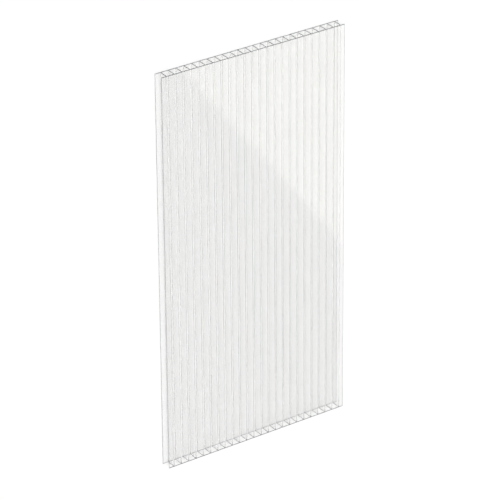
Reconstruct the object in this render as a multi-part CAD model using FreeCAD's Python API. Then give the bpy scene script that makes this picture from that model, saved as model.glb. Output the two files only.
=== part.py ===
# Clear twin-wall polycarbonate sheet: one extruded pane with two flat skins and a row of webs.
# It lies flat. X runs across the webs, Y along the flutes and Z through the thickness.
# The origin is the middle of the underside. All sizes are in millimetres.

import FreeCAD
import Part
import math
import os

# Pane as cut
sheet_width = 605.0
sheet_length = 1210.0
sheet_thickness = 32.0

# Extruded section
skin_thickness = 1.2
web_thickness = 1.0
web_pitch = 25.0
root_radius = 1.0

# Both long edges are sawn through a flute, so the skins stand past the outer webs as fins.
# This is from the left edge to the centre of the first web. The right fin is what is left over.
left_fin = 17.5

# How far a cutting shape runs past the face that it opens
overrun = 5.0


def web_centres():
    """X of every web that the pane holds whole, from left to right."""
    room = sheet_width - left_fin - web_thickness / 2
    count = math.floor(room / web_pitch) + 1
    first = left_fin - sheet_width / 2
    return [first + i * web_pitch for i in range(count)]


def flute_outline(left, right):
    """Closed wire of one flute across the section, with a root radius in each corner."""
    low = skin_thickness
    high = sheet_thickness - skin_thickness
    r = root_radius
    bow = r * (1 - math.sqrt(0.5))

    def point(x, z):
        return FreeCAD.Vector(x, 0, z)

    corners = [
        (point(left, low + r), point(left + bow, low + bow), point(left + r, low)),
        (point(right - r, low), point(right - bow, low + bow), point(right, low + r)),
        (point(right, high - r), point(right - bow, high - bow), point(right - r, high)),
        (point(left + r, high), point(left + bow, high - bow), point(left, high - r)),
    ]
    edges = []
    for i, (start, middle, end) in enumerate(corners):
        edges.append(Part.Arc(start, middle, end).toShape())
        following = corners[(i + 1) % len(corners)][0]
        edges.append(Part.LineSegment(end, following).toShape())
    return Part.Wire(edges)


def flute_sides():
    """Left and right X of each flute. The outer two run out past the sawn long edges."""
    half_web = web_thickness / 2
    past_edge = sheet_width / 2 + root_radius + overrun
    centres = web_centres()
    lefts = [-past_edge] + [x + half_web for x in centres]
    rights = [x - half_web for x in centres] + [past_edge]
    return list(zip(lefts, rights))


def section():
    """Cross section of the pane: a full rectangle less every flute."""
    corner = FreeCAD.Vector(-sheet_width / 2, 0, 0)
    along_flutes = FreeCAD.Vector(0, -1, 0)
    across_webs = FreeCAD.Vector(1, 0, 0)
    blank = Part.makePlane(sheet_width, sheet_thickness, corner, along_flutes, across_webs)
    flutes = [Part.Face(flute_outline(left, right)) for left, right in flute_sides()]
    return blank.cut(flutes).Faces[0]


def twin_wall_sheet():
    """The section drawn out along the flutes, as it leaves the die and is sawn to length."""
    start = FreeCAD.Vector(0, -sheet_length / 2, 0)
    profile = section().translated(start)
    return profile.extrude(FreeCAD.Vector(0, sheet_length, 0))


def main():
    os.makedirs("parts", exist_ok=True)
    twin_wall_sheet().exportStep("parts/twin_wall_sheet.step")


main()
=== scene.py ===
import bpy
import math
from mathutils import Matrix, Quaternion, Vector


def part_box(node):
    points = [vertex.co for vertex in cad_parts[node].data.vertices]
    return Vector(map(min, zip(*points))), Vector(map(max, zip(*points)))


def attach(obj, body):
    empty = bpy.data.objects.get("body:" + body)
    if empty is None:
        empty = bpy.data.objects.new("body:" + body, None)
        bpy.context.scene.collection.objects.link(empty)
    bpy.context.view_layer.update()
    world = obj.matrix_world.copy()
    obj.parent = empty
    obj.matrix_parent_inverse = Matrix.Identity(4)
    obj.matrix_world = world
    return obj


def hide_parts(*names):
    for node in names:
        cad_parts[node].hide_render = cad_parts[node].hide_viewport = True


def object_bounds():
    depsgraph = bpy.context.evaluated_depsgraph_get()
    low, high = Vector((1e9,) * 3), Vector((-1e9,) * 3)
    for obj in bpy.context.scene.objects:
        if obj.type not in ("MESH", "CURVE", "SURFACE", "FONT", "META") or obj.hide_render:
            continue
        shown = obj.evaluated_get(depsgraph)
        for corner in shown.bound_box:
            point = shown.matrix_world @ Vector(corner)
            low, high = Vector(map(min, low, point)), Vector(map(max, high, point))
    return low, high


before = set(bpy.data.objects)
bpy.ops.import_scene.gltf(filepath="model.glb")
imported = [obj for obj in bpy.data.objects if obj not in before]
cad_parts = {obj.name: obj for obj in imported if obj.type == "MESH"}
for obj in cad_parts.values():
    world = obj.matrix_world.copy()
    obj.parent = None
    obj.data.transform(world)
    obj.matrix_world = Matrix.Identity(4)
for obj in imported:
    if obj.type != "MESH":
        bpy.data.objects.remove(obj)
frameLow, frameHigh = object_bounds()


# The pane lies flat: X across the webs, Y along the flutes, Z up. Everything is in metres.


def add(tree, kind, **settings):
    node = tree.nodes.new(kind)
    for key, value in settings.items():
        setattr(node, key, value)
    return node


def plug(tree, source, target):
    if isinstance(source, bpy.types.NodeSocket):
        tree.links.new(source, target)
    else:
        target.default_value = source


def fill(tree, node, **values):
    # inputs by name, with the spaces left out
    sockets = {s.name.replace(" ", ""): s for s in reversed(node.inputs) if s.enabled}
    for key, value in values.items():
        plug(tree, value, sockets[key])
    return node


def maths(tree, operation, *values):
    node = add(tree, "ShaderNodeMath", operation=operation)
    for value, socket in zip(values, node.inputs):
        plug(tree, value, socket)
    return node.outputs[0]


def vector(tree, x=0.0, y=0.0, z=0.0):
    node = add(tree, "ShaderNodeCombineXYZ")
    for value, socket in zip((x, y, z), node.inputs):
        plug(tree, value, socket)
    return node.outputs[0]


def compare(tree, operation, a, b):
    node = add(tree, "FunctionNodeCompare", data_type="FLOAT", operation=operation)
    fill(tree, node, A=a, B=b)
    return node.outputs[0]


def logic(tree, operation, a, b):
    node = add(tree, "FunctionNodeBooleanMath", operation=operation)
    for value, socket in zip((a, b), node.inputs):
        plug(tree, value, socket)
    return node.outputs[0]


def separate(tree, source):
    node = add(tree, "ShaderNodeSeparateXYZ")
    tree.links.new(source, node.inputs[0])
    return node.outputs


pane = {
    "node": "twin_wall_sheet",
    "skin": 0.0012,
    "web": 0.0010,
    "pitch": 0.025,
    "leftFin": 0.0175,           # left edge to the middle of the first web
    "rootRadius": 0.0010,
    "rootSteps": 5,              # points on each root radius
    "dish": (0.00001, 0.00003),  # how far a skin sinks between two webs as it cools, least and most
    "dishSteps": 8,              # straight pieces that one flute's dish is made of
    "endRim": 0.0018,            # how far the saw scuffs every surface next to an end, the strip that also carries painted shade
    "sideRim": 0.0006,           # the same next to a long edge
    "seed": 7,
    "topSeed": 100.0,            # sets the chances of the top skin apart from those of the bottom one
    "creaseAngle": 5.0,          # edges sharper than this stay crisp
    "atEdge": 0.9999,            # share of the half width past which a point is on a long edge
    "oneStep": 1.02,             # just over one step of the dish, to catch the last point before an edge
    "weld": 0.000001,            # points closer than this become one
}


def loop(tree, width, height, steps, radius=0.0, radiusSteps=1):
    # a rectangle round the origin whose two wide sides are split, with its four corners rounded
    rectangle = fill(tree, add(tree, "GeometryNodeCurvePrimitiveQuadrilateral"), Width=width, Height=height)
    order = add(tree, "GeometryNodeInputIndex").outputs[0]
    wideSide = maths(tree, "SUBTRACT", 1.0, maths(tree, "MODULO", order, 2.0))
    cuts = maths(tree, "MULTIPLY", wideSide, maths(tree, "SUBTRACT", steps, 1.0))
    split = fill(tree, add(tree, "GeometryNodeSubdivideCurve"), Curve=rectangle.outputs[0], Cuts=cuts)
    here = separate(tree, add(tree, "GeometryNodeInputPosition").outputs[0])
    fromMiddle = maths(tree, "ABSOLUTE", here[0])
    side = maths(tree, "MULTIPLY", width, pane["atEdge"] / 2)
    isCorner = compare(tree, "GREATER_THAN", fromMiddle, side)
    corner = fill(
        tree, add(tree, "GeometryNodeFilletCurve", mode="POLY"),
        Curve=split.outputs[0], Count=radiusSteps, Radius=maths(tree, "MULTIPLY", isCorner, radius),
    )
    return corner.outputs[0]


def paneTree():
    tree = bpy.data.node_groups.new("paneTree", "GeometryNodeTree")
    sizes = (
        "Width", "Length", "Thickness", "Skin", "Web", "Pitch", "Left Fin",
        "Root Radius", "Least Dish", "Most Dish", "End Rim", "Side Rim", "Crease",
    )
    for name in sizes:
        tree.interface.new_socket(name=name, in_out="INPUT", socket_type="NodeSocketFloat")
    for name in ("Root Steps", "Dish Steps", "Seed"):
        tree.interface.new_socket(name=name, in_out="INPUT", socket_type="NodeSocketInt")
    for name in ("Plastic", "Scuff And Shade Rim", "Sawn Edge"):
        tree.interface.new_socket(name=name, in_out="INPUT", socket_type="NodeSocketMaterial")
    tree.interface.new_socket(name="Geometry", in_out="OUTPUT", socket_type="NodeSocketGeometry")
    given = add(tree, "NodeGroupInput").outputs
    width, length, thickness = given["Width"], given["Length"], given["Thickness"]
    skin, web, pitch, fin = given["Skin"], given["Web"], given["Pitch"], given["Left Fin"]

    # whole flutes, and one more at each long edge that the saw opened, so one more than there are webs
    halfWidth = maths(tree, "DIVIDE", width, 2.0)
    firstWeb = maths(tree, "SUBTRACT", fin, halfWidth)
    room = maths(tree, "SUBTRACT", maths(tree, "SUBTRACT", width, fin), maths(tree, "DIVIDE", web, 2.0))
    flutes = maths(tree, "ADD", maths(tree, "FLOOR", maths(tree, "DIVIDE", room, pitch)), 2.0)
    firstFlute = maths(tree, "SUBTRACT", firstWeb, maths(tree, "DIVIDE", pitch, 2.0))
    flute = loop(
        tree,
        maths(tree, "SUBTRACT", pitch, web),
        maths(tree, "SUBTRACT", thickness, maths(tree, "MULTIPLY", skin, 2.0)),
        given["Dish Steps"], given["Root Radius"], given["Root Steps"],
    )
    row = fill(
        tree, add(tree, "GeometryNodeMeshLine"),
        Count=flutes, StartLocation=vector(tree, firstFlute), Offset=vector(tree, pitch),
    )
    copies = fill(tree, add(tree, "GeometryNodeInstanceOnPoints"), Points=row.outputs[0], Instance=flute)
    loose = add(tree, "GeometryNodeRealizeInstances")
    tree.links.new(copies.outputs[0], loose.inputs[0])

    # the section: a full rectangle with the flutes as holes, and no plastic past the sawn edges
    faceSteps = maths(tree, "MULTIPLY", maths(tree, "DIVIDE", width, pitch), given["Dish Steps"])
    blank = loop(tree, width, thickness, faceSteps)
    outlines = add(tree, "GeometryNodeJoinGeometry")
    tree.links.new(loose.outputs[0], outlines.inputs[0])
    tree.links.new(blank, outlines.inputs[0])

    # the last point before each long edge moves to where the saw's scuffed strip starts
    endRim, sideRim = given["End Rim"], given["Side Rim"]
    flat = separate(tree, add(tree, "GeometryNodeInputPosition").outputs[0])
    sawLine = maths(tree, "MULTIPLY", halfWidth, pane["atEdge"])
    aside = maths(tree, "ABSOLUTE", flat[0])
    reach = maths(tree, "DIVIDE", maths(tree, "MULTIPLY", pitch, pane["oneStep"]), given["Dish Steps"])
    isLast = logic(
        tree, "AND",
        compare(tree, "GREATER_THAN", aside, maths(tree, "SUBTRACT", halfWidth, reach)),
        compare(tree, "LESS_THAN", aside, sawLine),
    )
    stripStart = maths(tree, "SUBTRACT", halfWidth, sideRim)
    stripLine = maths(tree, "MULTIPLY", maths(tree, "SIGN", flat[0]), stripStart)
    ready = fill(
        tree, add(tree, "GeometryNodeSetPosition"), Geometry=outlines.outputs[0],
        Selection=isLast, Position=vector(tree, stripLine, flat[1], flat[2]),
    )
    filled = fill(tree, add(tree, "GeometryNodeFillCurve", mode="TRIANGLES"), Curve=ready.outputs[0])
    isOutside = compare(tree, "GREATER_THAN", aside, sawLine)
    trimmed = fill(
        tree, add(tree, "GeometryNodeDeleteGeometry", domain="FACE"),
        Geometry=filled.outputs[0], Selection=isOutside,
    )

    # stood upright at the near end, then drawn out to the far end, with a cut one rim from each end
    upright = fill(
        tree, add(tree, "GeometryNodeTransform"), Geometry=trimmed.outputs[0],
        Translation=vector(
            tree, 0.0, maths(tree, "DIVIDE", length, -2.0), maths(tree, "DIVIDE", thickness, 2.0)),
    )
    upright.inputs["Rotation"].default_value = (math.pi / 2, 0.0, 0.0)
    flipped = fill(tree, add(tree, "GeometryNodeFlipFaces"), Mesh=upright.outputs[0])
    middle = maths(tree, "SUBTRACT", length, maths(tree, "MULTIPLY", endRim, 2.0))
    drawn = flipped
    for run in (endRim, middle, endRim):
        front = drawn.outputs["Top"] if "Top" in drawn.outputs else True
        drawn = fill(
            tree, add(tree, "GeometryNodeExtrudeMesh", mode="FACES"), Mesh=drawn.outputs[0],
            Selection=front, Offset=vector(tree, 0.0, run), OffsetScale=1.0, Individual=False,
        )
    closed = add(tree, "GeometryNodeJoinGeometry")
    tree.links.new(drawn.outputs[0], closed.inputs[0])
    tree.links.new(upright.outputs[0], closed.inputs[0])
    welded = fill(
        tree, add(tree, "GeometryNodeMergeByDistance"),
        Geometry=closed.outputs[0], Distance=pane["weld"],
    )

    # each skin sinks a little between the webs, no two flutes by the same amount
    here = separate(tree, add(tree, "GeometryNodeInputPosition").outputs[0])
    turn = maths(tree, "DIVIDE", maths(tree, "SUBTRACT", here[0], firstWeb), pitch)
    wave = maths(tree, "SINE", maths(tree, "MULTIPLY", turn, math.pi))
    above = compare(tree, "GREATER_THAN", here[2], maths(tree, "DIVIDE", thickness, 2.0))
    side = maths(tree, "SUBTRACT", 1.0, maths(tree, "MULTIPLY", above, 2.0))
    chance = fill(
        tree, add(tree, "FunctionNodeRandomValue", data_type="FLOAT"),
        Min=given["Least Dish"], Max=given["Most Dish"], Seed=given["Seed"],
        ID=maths(tree, "ADD", maths(tree, "FLOOR", turn), maths(tree, "MULTIPLY", above, pane["topSeed"])),
    )
    amount = next(socket for socket in chance.outputs if socket.enabled)
    sink = maths(tree, "MULTIPLY", maths(tree, "MULTIPLY", wave, wave), amount)
    dished = fill(
        tree, add(tree, "GeometryNodeSetPosition"), Geometry=welded.outputs[0],
        Offset=vector(tree, 0.0, 0.0, maths(tree, "MULTIPLY", sink, side)),
    )

    # soft shading round the roots and crisp edges elsewhere
    soft = fill(
        tree, add(tree, "GeometryNodeSetShadeSmooth", domain="FACE"),
        Geometry=dished.outputs[0], ShadeSmooth=True,
    )
    bend = add(tree, "GeometryNodeInputMeshEdgeAngle").outputs["Unsigned Angle"]
    crisp = fill(
        tree, add(tree, "GeometryNodeSetShadeSmooth", domain="EDGE"), Geometry=soft.outputs[0],
        Selection=compare(tree, "GREATER_THAN", bend, given["Crease"]), ShadeSmooth=False,
    )

    # sawn faces are the two ends and the tips of the skins along the long edges
    facing = separate(tree, add(tree, "GeometryNodeInputNormal").outputs[0])
    mostly = 0.5    # a face that looks further than this along an axis counts as looking that way
    isEnd = compare(tree, "GREATER_THAN", maths(tree, "ABSOLUTE", facing[1]), mostly)
    looksSideways = compare(tree, "GREATER_THAN", maths(tree, "ABSOLUTE", facing[0]), mostly)
    atEdge = compare(tree, "GREATER_THAN", maths(tree, "ABSOLUTE", here[0]), sawLine)
    isSawn = logic(tree, "OR", isEnd, logic(tree, "AND", looksSideways, atEdge))
    nearEnd = compare(
        tree, "GREATER_THAN", maths(tree, "ABSOLUTE", here[1]),
        maths(tree, "SUBTRACT", maths(tree, "DIVIDE", length, 2.0), endRim),
    )
    nearSide = compare(tree, "GREATER_THAN", maths(tree, "ABSOLUTE", here[0]), stripStart)
    isRim = logic(tree, "OR", nearEnd, nearSide)
    whole = add(tree, "GeometryNodeRealizeInstances")
    tree.links.new(crisp.outputs[0], whole.inputs[0])
    clear = fill(
        tree, add(tree, "GeometryNodeSetMaterial"), Geometry=whole.outputs[0], Material=given["Plastic"])
    scuffAndShade = fill(
        tree, add(tree, "GeometryNodeSetMaterial"),
        Geometry=clear.outputs[0], Selection=isRim, Material=given["Scuff And Shade Rim"],
    )
    sawn = fill(
        tree, add(tree, "GeometryNodeSetMaterial"),
        Geometry=scuffAndShade.outputs[0], Selection=isSawn, Material=given["Sawn Edge"],
    )
    tree.links.new(sawn.outputs[0], add(tree, "NodeGroupOutput").inputs[0])
    return tree


def makePane(clear, scuffAndShade, sawn):
    low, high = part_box(pane["node"])
    values = {
        "Width": high[0] - low[0],
        "Length": high[1] - low[1],
        "Thickness": high[2] - low[2],
        "Skin": pane["skin"],
        "Web": pane["web"],
        "Pitch": pane["pitch"],
        "Left Fin": pane["leftFin"],
        "Root Radius": pane["rootRadius"],
        "Root Steps": pane["rootSteps"],
        "Least Dish": pane["dish"][0],
        "Most Dish": pane["dish"][1],
        "Dish Steps": pane["dishSteps"],
        "End Rim": pane["endRim"],
        "Side Rim": pane["sideRim"],
        "Seed": pane["seed"],
        "Crease": math.radians(pane["creaseAngle"]),
        "Plastic": clear,
        "Scuff And Shade Rim": scuffAndShade,
        "Sawn Edge": sawn,
    }
    carrier = bpy.data.objects.new("paneCarrier", bpy.data.meshes.new("paneCarrier"))
    bpy.context.scene.collection.objects.link(carrier)
    modifier = carrier.modifiers.new("paneTree", "NODES")
    tree = paneTree()
    modifier.node_group = tree
    for item in tree.interface.items_tree:
        if item.in_out == "INPUT":
            modifier[item.identifier] = values[item.name]
    graph = bpy.context.evaluated_depsgraph_get()
    mesh = bpy.data.meshes.new_from_object(carrier.evaluated_get(graph))
    bpy.data.objects.remove(carrier)
    mesh.materials.pop(index=0)    # the carrier's own empty slot
    mesh.name = "clearPane"
    sheet = bpy.data.objects.new("clear_pane", mesh)
    bpy.context.scene.collection.objects.link(sheet)
    return sheet


def grey(value):
    return (value, value, value, 1.0)


def newMaterial(name):
    material = bpy.data.materials.new(name)
    material.use_nodes = True
    tree = material.node_tree
    tree.nodes.clear()
    out = add(tree, "ShaderNodeOutputMaterial")
    return material, tree, out


def noise(tree, place, detail=2.0):
    node = fill(tree, add(tree, "ShaderNodeTexNoise"), Vector=place, Scale=1.0, Detail=detail)
    return node.outputs["Factor"] if "Factor" in node.outputs else node.outputs[0]


def between(tree, factor, low, high):
    # low where the factor is 0, high where it is 1
    return maths(tree, "ADD", low, maths(tree, "MULTIPLY", factor, high - low))


def steps(tree, factor, start, end):
    node = add(tree, "ShaderNodeMapRange", interpolation_type="SMOOTHSTEP")
    fill(tree, node, Value=factor, FromMin=start, FromMax=end)
    return node.outputs[0]


def blend(tree, factor, first, second):
    node = add(tree, "ShaderNodeMix", data_type="RGBA")
    fill(tree, node, Factor=factor, A=(*first, 1.0), B=(*second, 1.0))
    return next(socket for socket in node.outputs if socket.enabled)


def raised(tree, height):
    # a bump whose height is in metres
    node = fill(tree, add(tree, "ShaderNodeBump"), Strength=1.0, Distance=1.0, Height=height)
    return node.outputs[0]


def passLight(tree, body, left, out):
    # lamps and the floor's own light pass straight through the body, in the colour that is left
    passing = add(tree, "ShaderNodeBsdfTransparent")
    plug(tree, left, passing.inputs[0])
    path = add(tree, "ShaderNodeLightPath")
    isLight = maths(tree, "MAXIMUM", path.outputs["Is Shadow Ray"], path.outputs["Is Diffuse Ray"])
    mix = add(tree, "ShaderNodeMixShader")
    tree.links.new(isLight, mix.inputs[0])
    tree.links.new(body.outputs[0], mix.inputs[1])
    tree.links.new(passing.outputs[0], mix.inputs[2])
    tree.links.new(mix.outputs[0], out.inputs["Surface"])


plastic = {
    "tint": (0.975, 0.976, 0.974),
    "refraction": 1.585,
    "roughness": (0.008, 0.03),  # clean skin, and along a dull streak
    "streakRange": (0.50, 0.75),
    "dieLine": 0.004,            # width of the coarse streaks that the die leaves
    "fineLine": 0.0009,
    "lineLength": 1.6,
    "dieDepth": 0.000008,
    "fineDepth": 0.0000012,
    "scratchWidth": 0.0008,
    "scratchLength": 0.05,
    "scratchDepth": 0.000002,
    "scratchTurns": (22.0, -41.0),
    "scratchRange": (0.80, 0.88),
    "shade": (1.0, 0.88),        # lamp light left after a skin, and after the side of a web that it skims
}


def clearPlastic():
    material, tree, out = newMaterial("clearPlastic")
    here = separate(tree, add(tree, "ShaderNodeTexCoord").outputs["Object"])

    # die lines run the whole length, on the skins and on the sides of the webs alike
    around = maths(tree, "ADD", here[0], here[2])
    along = maths(tree, "DIVIDE", here[1], plastic["lineLength"])
    coarse = noise(tree, vector(tree, maths(tree, "DIVIDE", around, plastic["dieLine"]), along))
    fine = noise(tree, vector(tree, maths(tree, "DIVIDE", around, plastic["fineLine"]), along))
    height = maths(
        tree, "ADD",
        maths(tree, "MULTIPLY", coarse, plastic["dieDepth"]),
        maths(tree, "MULTIPLY", fine, plastic["fineDepth"]),
    )

    # two sets of hairline scratches from handling
    marks = 0.0
    for angle in plastic["scratchTurns"]:
        turned = add(tree, "ShaderNodeVectorRotate", rotation_type="Z_AXIS")
        fill(tree, turned, Vector=vector(tree, here[0], here[1]), Angle=math.radians(angle))
        flat = separate(tree, turned.outputs[0])
        strokes = noise(tree, vector(
            tree,
            maths(tree, "DIVIDE", flat[0], plastic["scratchLength"]),
            maths(tree, "DIVIDE", flat[1], plastic["scratchWidth"]),
            angle,
        ), detail=0.0)
        marks = maths(tree, "ADD", marks, steps(tree, strokes, *plastic["scratchRange"]))
    height = maths(
        tree, "SUBTRACT", height, maths(tree, "MULTIPLY", marks, plastic["scratchDepth"]))

    clean, dull = plastic["roughness"]
    streak = steps(tree, fine, *plastic["streakRange"])
    body = add(tree, "ShaderNodeBsdfPrincipled")
    body.inputs["Base Color"].default_value = (*plastic["tint"], 1.0)
    body.inputs["Transmission Weight"].default_value = 1.0
    body.inputs["IOR"].default_value = plastic["refraction"]
    tree.links.new(between(tree, streak, clean, dull), body.inputs["Roughness"])
    tree.links.new(raised(tree, height), body.inputs["Normal"])

    # the webs shade the floor a little
    facing = separate(tree, add(tree, "ShaderNodeNewGeometry").outputs["Normal"])
    isWeb = maths(tree, "ABSOLUTE", facing[0])
    skim = add(tree, "ShaderNodeLayerWeight").outputs["Facing"]
    skimmed = maths(tree, "MULTIPLY", isWeb, maths(tree, "MULTIPLY", skim, skim))
    left = between(tree, skimmed, *plastic["shade"])
    passLight(tree, body, vector(tree, left, left, left), out)
    return material


scuffAndShadeRim = {
    # painted shade in part: the dark colour stands for the dark line along a cut edge as well as the
    # scuffing
    "colour": (0.10, 0.11, 0.115),
    "chip": (0.50, 0.515, 0.52),
    "chipSize": 0.0016,
    "chipRange": (0.45, 0.62),
    "wayOut": (0.010, 0.022),    # painted shade: the strip darkens between these heights, towards the top skin
    "clearness": 0.25,           # share of the view that the strip still lets through
    "lampLight": 0.80,           # share of lamp light that it lets through
    "roughness": (0.30, 0.65),
    "dragMark": 0.0007,
    "dragLength": 0.0056,
    "dragDepth": 0.00002,
    "refraction": 1.585,
}


# the saw's scuffed strip, its dark colour partly painted shade
def scuffAndShadePlastic():
    material, tree, out = newMaterial("scuffAndShadePlastic")
    place = separate(tree, add(tree, "ShaderNodeTexCoord").outputs["Object"])
    around = maths(tree, "ADD", place[0], place[2])
    chips = steps(tree, noise(tree, vector(
        tree,
        maths(tree, "DIVIDE", around, scuffAndShadeRim["chipSize"]),
        maths(tree, "DIVIDE", place[1], scuffAndShadeRim["chipSize"]),
    )), *scuffAndShadeRim["chipRange"])
    drag = noise(tree, vector(
        tree,
        maths(tree, "DIVIDE", around, scuffAndShadeRim["dragMark"]),
        maths(tree, "DIVIDE", place[1], scuffAndShadeRim["dragLength"]),
    ))

    # painted shade and light: the strip is painted darker on the top skin, and paler on the bottom skin
    # against the floor's contact shadow
    paleLowerSkin = maths(tree, "SUBTRACT", 1.0, steps(tree, place[2], *scuffAndShadeRim["wayOut"]))
    pale = maths(tree, "DIVIDE", maths(tree, "ADD", chips, paleLowerSkin), 2.0)
    body = add(tree, "ShaderNodeBsdfPrincipled")
    tree.links.new(blend(tree, pale, scuffAndShadeRim["colour"], scuffAndShadeRim["chip"]), body.inputs["Base Color"])
    body.inputs["Transmission Weight"].default_value = scuffAndShadeRim["clearness"]
    body.inputs["IOR"].default_value = scuffAndShadeRim["refraction"]
    tree.links.new(between(tree, chips, *scuffAndShadeRim["roughness"]), body.inputs["Roughness"])
    height = maths(tree, "MULTIPLY", drag, scuffAndShadeRim["dragDepth"])
    tree.links.new(raised(tree, height), body.inputs["Normal"])
    passLight(tree, body, grey(scuffAndShadeRim["lampLight"]), out)
    return material


sawnEdge = {
    "colour": (0.26, 0.27, 0.275),
    "fleck": (0.48, 0.50, 0.505),
    "fleckSize": (0.0012, 0.0004),    # along the cut, and up it
    "fleckRange": (0.48, 0.66),
    "toothMark": 0.0009,
    "toothTurn": 24.0,
    "wanderLength": 0.0054,      # how soon the saw's feed changes
    "wander": 3.0,
    "toothDepth": 0.00004,
    "roughness": (0.45, 0.75),
    "refraction": 1.585,
}


def sawnPlastic():
    material, tree, out = newMaterial("sawnPlastic")
    place = separate(tree, add(tree, "ShaderNodeTexCoord").outputs["Object"])

    # each tooth leaves a slanted mark across the cut
    along = maths(tree, "ADD", place[0], place[1])
    slant = maths(tree, "MULTIPLY", place[2], math.tan(math.radians(sawnEdge["toothTurn"])))
    marking = maths(tree, "DIVIDE", maths(tree, "ADD", along, slant), sawnEdge["toothMark"])
    feed = noise(tree, vector(tree, maths(tree, "DIVIDE", along, sawnEdge["wanderLength"]), 0.0, place[2]))
    turns = maths(tree, "ADD", marking, maths(tree, "MULTIPLY", feed, sawnEdge["wander"]))
    tooth = maths(tree, "SINE", maths(tree, "MULTIPLY", turns, math.tau))
    flecks = steps(tree, noise(tree, vector(
        tree,
        maths(tree, "DIVIDE", along, sawnEdge["fleckSize"][0]),
        maths(tree, "DIVIDE", place[2], sawnEdge["fleckSize"][1]),
    ), detail=3.0), *sawnEdge["fleckRange"])
    body = add(tree, "ShaderNodeBsdfPrincipled")
    tree.links.new(blend(tree, flecks, sawnEdge["colour"], sawnEdge["fleck"]), body.inputs["Base Color"])
    body.inputs["IOR"].default_value = sawnEdge["refraction"]
    tree.links.new(between(tree, flecks, *sawnEdge["roughness"]), body.inputs["Roughness"])
    height = maths(tree, "MULTIPLY", tooth, sawnEdge["toothDepth"] / 2)
    tree.links.new(raised(tree, height), body.inputs["Normal"])
    tree.links.new(body.outputs[0], out.inputs["Surface"])
    return material


ground = {
    "size": 160.0,
    "colour": 0.97,
    "gap": 0.0005,               # below the pane, so that the two faces don't fight
}


def makeFloor():
    half = ground["size"] / 2
    mesh = bpy.data.meshes.new("floor")
    corners = [(-half, -half, 0.0), (half, -half, 0.0), (half, half, 0.0), (-half, half, 0.0)]
    mesh.from_pydata(corners, [], [(0, 1, 2, 3)])
    floor = bpy.data.objects.new("floor", mesh)
    bpy.context.scene.collection.objects.link(floor)
    floor.location.z = frameLow[2] - ground["gap"]
    material, tree, out = newMaterial("palePaint")
    body = add(tree, "ShaderNodeBsdfDiffuse")
    body.inputs["Color"].default_value = grey(ground["colour"])
    tree.links.new(body.outputs[0], out.inputs["Surface"])
    mesh.materials.append(material)


room = {
    "horizon": 0.45,             # brightness of the walls, from the floor up
    "middle": 0.52,
    "middleHeight": 0.6,
    "zenith": 0.60,
    "backdrop": 1.02,            # what the camera sees behind the floor
}


def lightStudio():
    world = bpy.data.worlds.new("studio")
    bpy.context.scene.world = world
    world.use_nodes = True
    tree = world.node_tree
    tree.nodes.clear()
    direction = separate(tree, add(tree, "ShaderNodeTexCoord").outputs["Generated"])
    ramp = add(tree, "ShaderNodeValToRGB")
    stops = ramp.color_ramp.elements
    stops[0].position = 0.0
    stops[0].color = grey(room["horizon"])
    stops[1].position = 1.0
    stops[1].color = grey(room["zenith"])
    middle = stops.new(room["middleHeight"])
    middle.color = grey(room["middle"])
    tree.links.new(direction[2], ramp.inputs[0])
    walls = add(tree, "ShaderNodeBackground")
    tree.links.new(ramp.outputs[0], walls.inputs[0])
    backdrop = add(tree, "ShaderNodeBackground")
    backdrop.inputs[0].default_value = grey(room["backdrop"])
    mix = add(tree, "ShaderNodeMixShader")
    tree.links.new(add(tree, "ShaderNodeLightPath").outputs["Is Camera Ray"], mix.inputs[0])
    tree.links.new(walls.outputs[0], mix.inputs[1])
    tree.links.new(backdrop.outputs[0], mix.inputs[2])
    tree.links.new(mix.outputs[0], add(tree, "ShaderNodeOutputWorld").inputs[0])


lamps = {
    "keyFrom": (-0.40, 0.25, 0.88),
    "keySpread": 11.0,           # wide enough for soft bands under the webs, narrow enough that they show
    "keyStrength": 1.75,
    "softbox": (3.2, 2.2),       # a wide panel whose straight edge crosses the pane as a reflection
    "softboxPlace": (2.68, -0.59, 2.5),
    "softboxTurn": -51.8,
    "softboxPower": 10.0,
    "softboxColour": (1.0, 0.98, 0.86),
}


def makeLamp(name, kind, place):
    lamp = bpy.data.objects.new(name, bpy.data.lights.new(name, kind))
    bpy.context.scene.collection.objects.link(lamp)
    lamp.location = place
    return lamp


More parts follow.
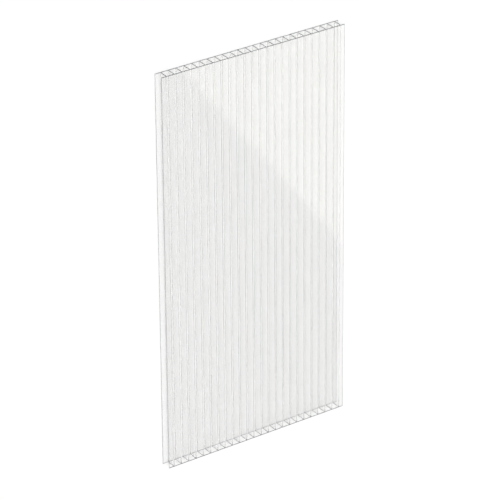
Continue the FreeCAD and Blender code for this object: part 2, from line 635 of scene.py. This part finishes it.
def makeLamps():
    toKey = Vector(lamps["keyFrom"])
    key = makeLamp("key", "SUN", toKey)
    key.rotation_euler = toKey.to_track_quat("Z", "Y").to_euler()
    key.data.angle = math.radians(lamps["keySpread"])
    key.data.energy = lamps["keyStrength"]
    softbox = makeLamp("softbox", "AREA", lamps["softboxPlace"])
    softbox.rotation_euler.z = math.radians(lamps["softboxTurn"])
    softbox.data.shape = "RECTANGLE"
    softbox.data.size, softbox.data.size_y = lamps["softbox"]
    softbox.data.energy = lamps["softboxPower"]
    softbox.data.color = lamps["softboxColour"]


lightPaths = {
    "bounces": 48,               # light that the webs and skins trap keeps its strength
    "straightThrough": 64,       # surfaces that lamp light may pass on its way down
}


def setLightPaths():
    scene = bpy.context.scene
    scene.view_settings.view_transform = "Standard"
    scene.cycles.max_bounces = lightPaths["bounces"]
    scene.cycles.transmission_bounces = lightPaths["bounces"]
    scene.cycles.glossy_bounces = lightPaths["bounces"]
    scene.cycles.transparent_max_bounces = lightPaths["straightThrough"]
    scene.cycles.caustics_reflective = False
    scene.cycles.caustics_refractive = False


shot = {
    "azimuth": 227.6,            # from over the corner of the far end and the left edge
    "elevation": 46.8,
    "roll": 123.2,               # the far end is at the top of the picture
    "distance": 10.0,
    "lens": 258.6,
    "sensor": 36.0,
    "aim": (-0.0087, -0.0075, 0.016),
    "seesTo": 1000.0,
}


def makeCamera():
    camera = bpy.data.objects.new("camera", bpy.data.cameras.new("camera"))
    bpy.context.scene.collection.objects.link(camera)
    camera.data.lens = shot["lens"]
    camera.data.sensor_width = shot["sensor"]
    around = math.radians(shot["azimuth"])
    upward = math.radians(shot["elevation"])
    back = Vector((
        math.sin(around) * math.cos(upward),
        -math.cos(around) * math.cos(upward),
        math.sin(upward),
    ))
    camera.location = Vector(shot["aim"]) + back * shot["distance"]
    camera.rotation_mode = "QUATERNION"
    turn = Quaternion((0.0, 0.0, 1.0), math.radians(shot["roll"]))
    camera.rotation_quaternion = (-back).to_track_quat("-Z", "Y") @ turn
    camera.data.clip_end = shot["seesTo"]
    bpy.context.scene.camera = camera


makeCamera()
print("camera set")
makeFloor()
lightStudio()
makeLamps()
setLightPaths()
print("floor, room and lamps set")

clear = clearPlastic()
scuffAndShade = scuffAndShadePlastic()
sawn = sawnPlastic()
print("clear, scuffed and sawn plastic mixed")

sheet = makePane(clear, scuffAndShade, sawn)
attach(sheet, "root")
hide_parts(pane["node"])
print("pane made:", len(sheet.data.polygons), "faces,", len(sheet.data.vertices), "points")
